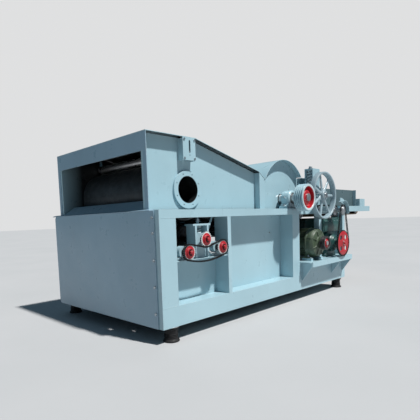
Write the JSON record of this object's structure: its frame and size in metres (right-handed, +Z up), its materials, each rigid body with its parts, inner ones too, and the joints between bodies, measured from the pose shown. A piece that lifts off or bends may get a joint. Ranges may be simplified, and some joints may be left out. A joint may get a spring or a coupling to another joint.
{
  "type": "drum carder",
  "caption": "Carding and opening machine: feed apron, sprung feed rollers, pinned cylinder under a dome, condensing cage with side air ducts, delivery rollers and chute.",
  "frame": {"origin": "on the floor, under the middle of the machine's length and width", "axes": "+X from the delivery mouth towards the feed table, -Y towards the drive side, +Z up"},
  "size_m": [3.27, 1.49, 1.265],
  "materials": {
    "apron": "slatted apron",
    "bolt": "plated steel",
    "cast": "painted casting",
    "dark_steel": "oiled black steel",
    "enamel": "light blue machine enamel, satin",
    "galvanised": "rolled sheet",
    "olive_enamel": "olive motor enamel",
    "red_enamel": "red enamel",
    "rubber": "black moulded rubber",
    "shade_enamel": "dark teal enamel",
    "steel": "turned steel",
    "teal_enamel": "dark green gearbox enamel"
  },
  "bodies": {
    "frame": {"apron_bed": "galvanised", "apron_belt": "apron", "bearing_blocks": "cast", "bottom_rails": "enamel", "casing_walls": "enamel", "chute": "enamel", "cross_beams": "enamel", "cylinder_bearings": "cast", "dome_cover": "enamel", "duct_collars": "enamel", "dust_grid": "galvanised", "dust_tray": "galvanised", "end_frame": "enamel", "fasteners": "bolt", "feed_chains": "dark_steel", "feed_cover": "enamel", "feed_springs": "dark_steel", "feet": "rubber", "front_plate": "enamel", "motor_body": "olive_enamel", "motor_platform": "enamel", "press_springs": "dark_steel", "reducer": "teal_enamel", "roller_chains": "dark_steel", "roller_stands": "enamel", "seam_posts": "enamel", "side_panels": "enamel", "side_posts": "enamel", "slotted_plates": "enamel", "speed_changer": "teal_enamel", "spring_columns": "enamel", "table_brackets": "enamel", "table_guards": "shade_enamel", "table_rails": "enamel", "top_cover": "enamel", "top_rails": "enamel"},
    "cylinder": {"cylinder_shaft": "steel", "cylinder_drum": "steel", "cylinder_lags": "dark_steel", "cylinder_pulley": "cast"},
    "cage": {"cage_shell": "galvanised", "cage_ends": "galvanised"},
    "seal": {"seal_roller": "steel"},
    "left_delivery": {"left_roller": "steel", "left_sprocket": "red_enamel"},
    "right_delivery": {"right_roller": "steel", "right_sprocket": "red_enamel"},
    "press_carriage": {"press_blocks": "cast"},
    "press_delivery": {"press_roller": "steel", "press_sprocket": "red_enamel"},
    "feed_carriage": {"feed_blocks": "cast"},
    "upper_feed": {"upper_feed_roller": "steel", "spoked_wheel": "cast"},
    "lower_feed": {"lower_feed_roller": "steel"},
    "apron_head": {"head_roller": "steel"},
    "apron_tail": {"tail_roller": "steel"},
    "motor_rotor": {"motor_shaft": "steel", "motor_pulley": "red_enamel"},
    "reducer_output": {"output_shaft": "steel", "output_sprocket": "red_enamel"}
  },
  "joints": [
    {"name": "cylinder_spin", "type": "hinge", "parent": "frame", "child": "cylinder", "pos_m": [-0.11, 0.04, 0.885], "axis": [0, 1, 0], "continuous": true},
    {"name": "cage_spin", "type": "hinge", "parent": "frame", "child": "cage", "pos_m": [-1.235, 0.04, 0.934], "axis": [0, 1, 0], "continuous": true},
    {"name": "seal_lift", "type": "slide", "parent": "frame", "child": "seal", "axis": [0, 0, 1], "range_m": [0, 0.05]},
    {"name": "left_delivery_spin", "type": "hinge", "parent": "frame", "child": "left_delivery", "pos_m": [-1.39, 0.04, 0.538], "axis": [0, 1, 0], "continuous": true},
    {"name": "right_delivery_spin", "type": "hinge", "parent": "frame", "child": "right_delivery", "pos_m": [-1.08, 0.04, 0.549], "axis": [0, 1, 0], "continuous": true},
    {"name": "press_lift", "type": "slide", "parent": "frame", "child": "press_carriage", "axis": [0, 0, 1], "range_m": [0, 0.012], "stiffness_N_per_m": 12000, "springref_m": -0.02, "deforming": ["press_springs"]},
    {"name": "press_delivery_spin", "type": "hinge", "parent": "press_carriage", "child": "press_delivery", "pos_m": [-1.237, 0.04, 0.609], "axis": [0, 1, 0], "continuous": true},
    {"name": "feed_lift", "type": "slide", "parent": "frame", "child": "feed_carriage", "axis": [0, 0, 1], "range_m": [0, 0.02], "stiffness_N_per_m": 30000, "springref_m": -0.02, "deforming": ["feed_springs"]},
    {"name": "upper_feed_spin", "type": "hinge", "parent": "feed_carriage", "child": "upper_feed", "pos_m": [0.25, 0.04, 0.91], "axis": [0, 1, 0], "continuous": true},
    {"name": "lower_feed_spin", "type": "hinge", "parent": "frame", "child": "lower_feed", "pos_m": [0.25, 0.04, 0.775], "axis": [0, 1, 0], "continuous": true},
    {"name": "apron_head_spin", "type": "hinge", "parent": "frame", "child": "apron_head", "pos_m": [0.566, 0.04, 0.775], "axis": [0, 1, 0], "continuous": true},
    {"name": "apron_tail_spin", "type": "hinge", "parent": "frame", "child": "apron_tail", "pos_m": [1.52, 0.04, 0.785], "axis": [0, 1, 0], "continuous": true},
    {"name": "motor_spin", "type": "hinge", "parent": "frame", "child": "motor_rotor", "pos_m": [0.2, 0.04, 0.49], "axis": [0, 1, 0], "continuous": true},
    {"name": "reducer_output_spin", "type": "hinge", "parent": "frame", "child": "reducer_output", "pos_m": [0.566, 0.04, 0.465], "axis": [0, 1, 0], "continuous": true}
  ],
  "couplings": [
    {"joint": "right_delivery_spin", "follows": "cage_spin", "ratio": 3},
    {"joint": "left_delivery_spin", "follows": "cage_spin", "ratio": 3},
    {"joint": "press_delivery_spin", "follows": "cage_spin", "ratio": -3},
    {"joint": "upper_feed_spin", "follows": "lower_feed_spin", "ratio": -1},
    {"joint": "apron_head_spin", "follows": "lower_feed_spin", "ratio": 1},
    {"joint": "apron_tail_spin", "follows": "lower_feed_spin", "ratio": 1},
    {"joint": "reducer_output_spin", "follows": "lower_feed_spin", "ratio": 0.4}
  ]
}
